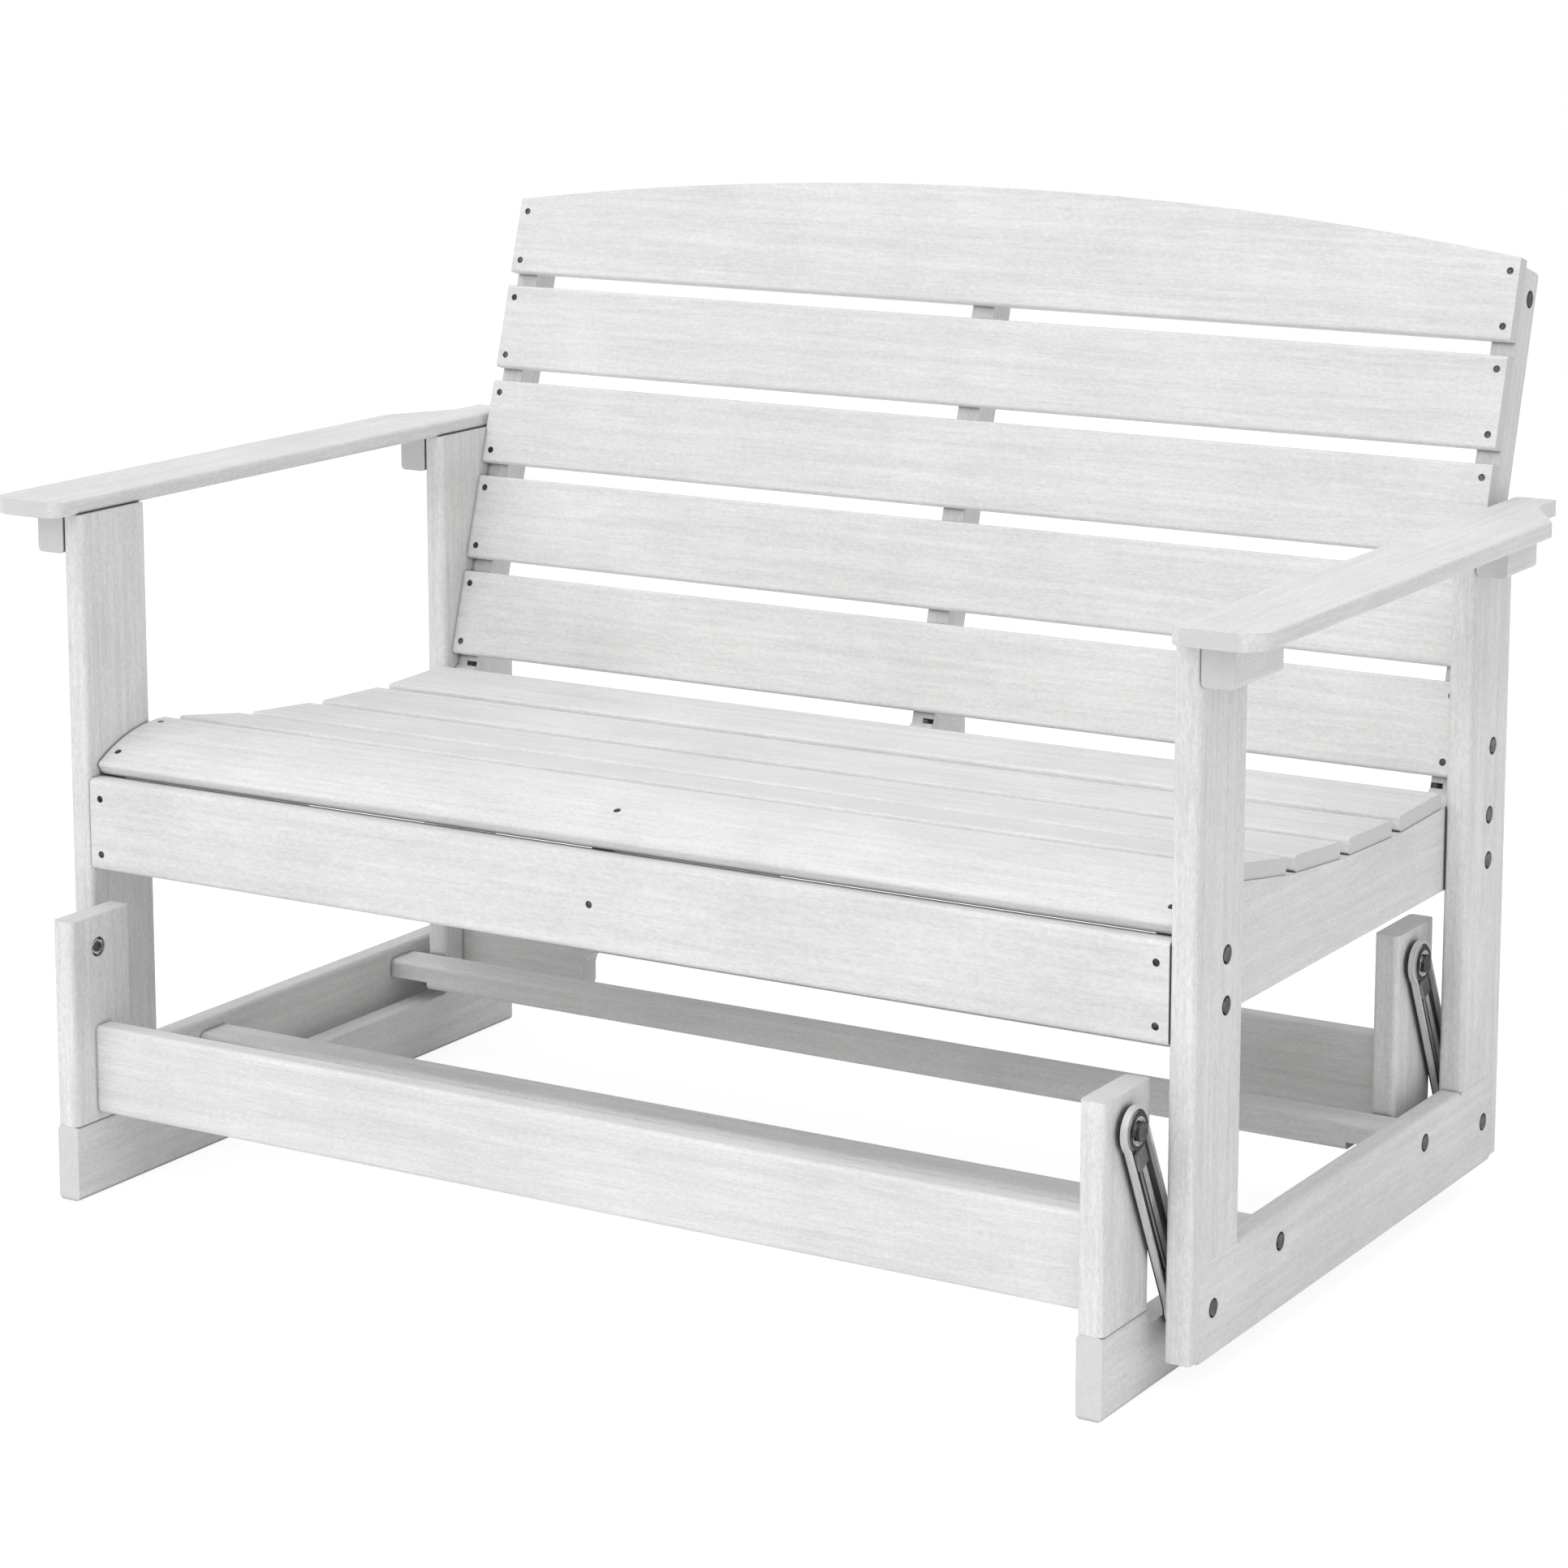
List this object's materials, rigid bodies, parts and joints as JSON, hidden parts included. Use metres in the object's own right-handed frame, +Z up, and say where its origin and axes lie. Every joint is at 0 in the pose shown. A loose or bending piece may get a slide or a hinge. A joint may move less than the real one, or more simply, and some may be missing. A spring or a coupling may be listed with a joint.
{
  "type": "glider bench",
  "caption": "Slatted bench with arms and a leaning arched back, hung on swing arms from a low fixed base so that it glides forward and back.",
  "frame": {"origin": "on the floor, half way across the bench and half way between the front of the base and the rearmost point of the back", "axes": "+X to the right as seen from the front, +Y from front to back, +Z up"},
  "size_m": [1.39, 0.9016, 0.9701],
  "materials": {
    "lumber": "off-white solid plastic lumber with fine brushed grain along each board",
    "arm_steel": "dark pressed steel, glossy",
    "bearing_steel": "ground bearing steel",
    "screw_steel": "dark coated steel",
    "zinc_steel": "zinc plated steel"
  },
  "bodies": {
    "base": {"base_runner_left": "lumber", "base_runner_right": "lumber", "base_post_front_left": "lumber", "base_post_front_right": "lumber", "base_post_rear_left": "lumber", "base_post_rear_right": "lumber", "base_rail_front": "lumber", "base_rail_rear": "lumber", "base_screws": "screw_steel", "upper_pivot_bolts": "screw_steel", "upper_pivot_nuts": "zinc_steel", "upper_pivot_spacers": "zinc_steel"},
    "arm_front_left": {"swing_arm_front_left": "arm_steel", "bearings_front_left": "bearing_steel"},
    "arm_front_right": {"swing_arm_front_right": "arm_steel", "bearings_front_right": "bearing_steel"},
    "arm_rear_left": {"swing_arm_rear_left": "arm_steel", "bearings_rear_left": "bearing_steel"},
    "arm_rear_right": {"swing_arm_rear_right": "arm_steel", "bearings_rear_right": "bearing_steel"},
    "seat_frame": {"front_leg_left": "lumber", "front_leg_right": "lumber", "rear_leg_left": "lumber", "rear_leg_right": "lumber", "side_rail_left": "lumber", "side_rail_right": "lumber", "stretcher_middle": "lumber", "stretcher_rear": "lumber", "lower_pivot_bolts": "screw_steel", "lower_pivot_nuts": "zinc_steel", "lower_pivot_spacers": "zinc_steel", "seat_rail_left": "lumber", "seat_rail_centre": "lumber", "seat_rail_right": "lumber", "front_apron": "lumber", "seat_slat_1": "lumber", "seat_slat_2": "lumber", "seat_slat_3": "lumber", "seat_slat_4": "lumber", "seat_slat_5": "lumber", "back_support_left": "lumber", "back_support_centre": "lumber", "back_support_right": "lumber", "back_top_rail": "lumber", "back_slat_1": "lumber", "back_slat_2": "lumber", "back_slat_3": "lumber", "back_slat_4": "lumber", "back_slat_5": "lumber", "armrest_left": "lumber", "armrest_right": "lumber", "arm_cleats_front": "lumber", "arm_cleats_rear": "lumber", "frame_bolts": "screw_steel", "frame_nuts": "zinc_steel", "frame_screws": "screw_steel", "seat_screws": "screw_steel", "back_screws": "screw_steel", "arm_screws": "screw_steel"}
  },
  "joints": [
    {"name": "front_left_swing", "type": "hinge", "parent": "base", "child": "arm_front_left", "pos_m": [-0.5906, -0.41177, 0.2535], "axis": [-1, 0, 0], "range_deg": [0, 45.6]},
    {"name": "front_right_swing", "type": "hinge", "parent": "base", "child": "arm_front_right", "pos_m": [0.5906, -0.41177, 0.2535], "axis": [-1, 0, 0], "range_deg": [0, 45.6]},
    {"name": "rear_left_swing", "type": "hinge", "parent": "base", "child": "arm_rear_left", "pos_m": [-0.5906, 0.21223, 0.2535], "axis": [-1, 0, 0], "range_deg": [0, 45.6]},
    {"name": "rear_right_swing", "type": "hinge", "parent": "base", "child": "arm_rear_right", "pos_m": [0.5906, 0.21223, 0.2535], "axis": [-1, 0, 0], "range_deg": [0, 45.6]},
    {"name": "seat_glide", "type": "hinge", "parent": "arm_front_left", "child": "seat_frame", "pos_m": [-0.5906, -0.32088, 0.07199], "axis": [-1, 0, 0], "range_deg": [-45.6, 0]}
  ],
  "couplings": [
    {"joint": "front_right_swing", "follows": "front_left_swing", "ratio": 1},
    {"joint": "rear_left_swing", "follows": "front_left_swing", "ratio": 1},
    {"joint": "rear_right_swing", "follows": "front_left_swing", "ratio": 1},
    {"joint": "seat_glide", "follows": "front_left_swing", "ratio": -1}
  ]
}
